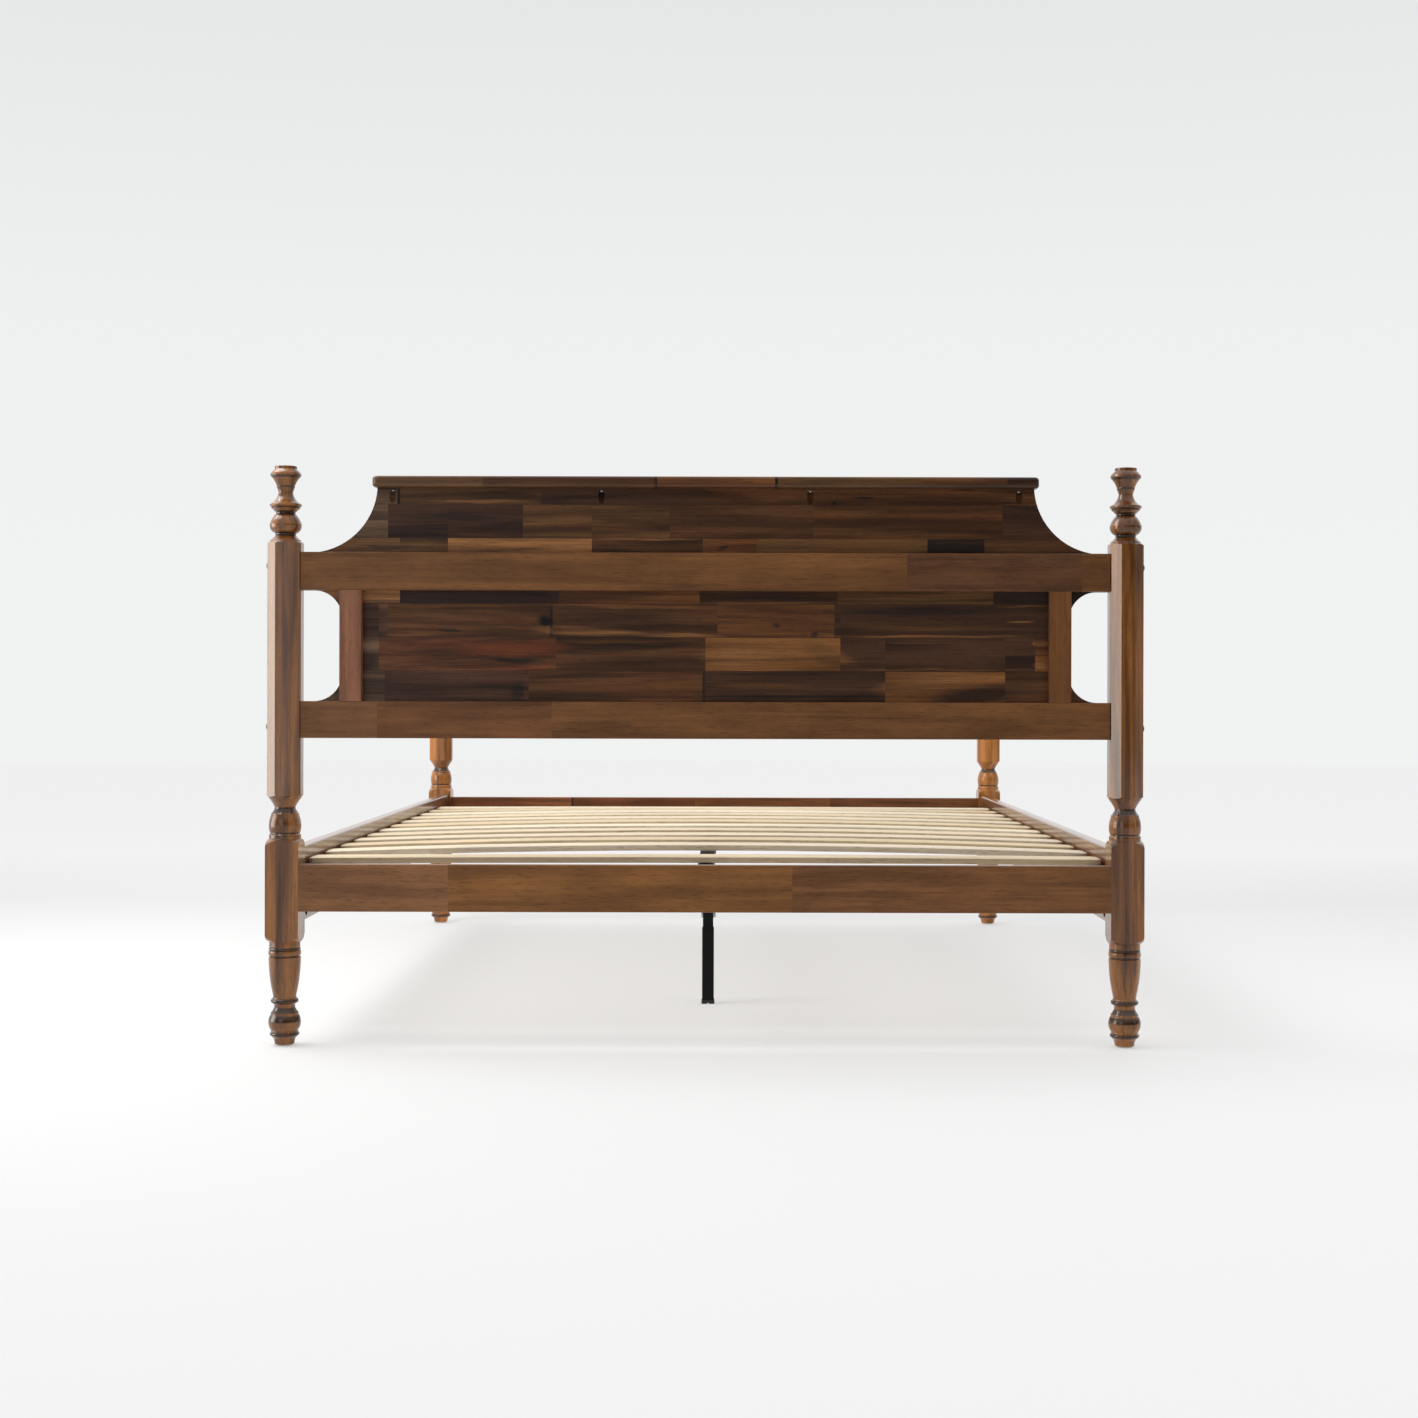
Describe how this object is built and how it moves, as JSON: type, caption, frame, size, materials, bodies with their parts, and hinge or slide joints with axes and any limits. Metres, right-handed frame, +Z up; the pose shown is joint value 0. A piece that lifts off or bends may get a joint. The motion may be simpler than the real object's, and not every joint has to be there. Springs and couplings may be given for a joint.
{
  "type": "bed frame",
  "caption": "Wooden bed frame with turned posts, a panelled headboard with a shaped crest, crowned slats and a telescopic centre leg under a steel beam.",
  "frame": {"origin": "on the floor, midway between the four posts", "axes": "+X across the bed to the right as seen from behind the headboard, +Y from the head to the foot, +Z up"},
  "size_m": [1.645, 2.175, 1.085],
  "materials": {
    "turned_post_wood": "oiled, semi-gloss",
    "stave_panel_wood": "stained staves under satin lacquer",
    "frame_wood": "stained, satin lacquer",
    "rail_wood": "stained, semi-gloss lacquer",
    "ledger_wood": "planed",
    "slat_wood": "planed, unfinished softwood",
    "dowel_wood": "fluted beech",
    "black_steel": "black powder coat",
    "zinc_steel": "bright zinc plate",
    "black_plastic": "moulded, fine texture",
    "nylon_glide": "moulded nylon",
    "black_tape": "foam tape"
  },
  "bodies": {
    "bed_frame": {"head_post_left": "turned_post_wood", "head_post_right": "turned_post_wood", "foot_post_left": "turned_post_wood", "foot_post_right": "turned_post_wood", "post_glides": "nylon_glide", "headboard_panel": "stave_panel_wood", "headboard_upper_rail": "frame_wood", "headboard_lower_rail": "frame_wood", "headboard_stile_left": "frame_wood", "headboard_stile_right": "frame_wood", "headboard_cap": "frame_wood", "cap_screws": "zinc_steel", "headboard_bolts": "zinc_steel", "headboard_barrel_nuts": "zinc_steel", "bolt_cover_buttons": "turned_post_wood", "headboard_dowels": "dowel_wood", "side_rail_left": "rail_wood", "side_rail_right": "rail_wood", "slat_ledger_left": "ledger_wood", "slat_ledger_right": "ledger_wood", "anti_slip_tape_left": "black_tape", "anti_slip_tape_right": "black_tape", "head_end_rail": "rail_wood", "foot_end_rail": "rail_wood", "ledger_screws": "zinc_steel", "rail_studs": "zinc_steel", "half_moon_washers": "zinc_steel", "rail_nuts": "zinc_steel", "centre_beam": "black_steel", "beam_hanger_head": "black_steel", "beam_hanger_foot": "black_steel", "hanger_screws": "zinc_steel", "leg_plate_screws": "zinc_steel", "slat_01": "slat_wood", "slat_02": "slat_wood", "slat_03": "slat_wood", "slat_04": "slat_wood", "slat_05": "slat_wood", "slat_06": "slat_wood", "slat_07": "slat_wood", "slat_08": "slat_wood", "slat_09": "slat_wood", "slat_10": "slat_wood", "slat_11": "slat_wood", "slat_12": "slat_wood", "centre_leg_tube": "black_steel", "leg_cross_bolt": "zinc_steel"},
    "leg_sleeve": {"centre_leg_sleeve": "black_steel", "centre_leg_foot": "black_plastic"}
  },
  "joints": [
    {"name": "centre_leg_height", "type": "slide", "parent": "bed_frame", "child": "leg_sleeve", "axis": [0, 0, 1], "range_m": [-0.02, 0.02]}
  ]
}
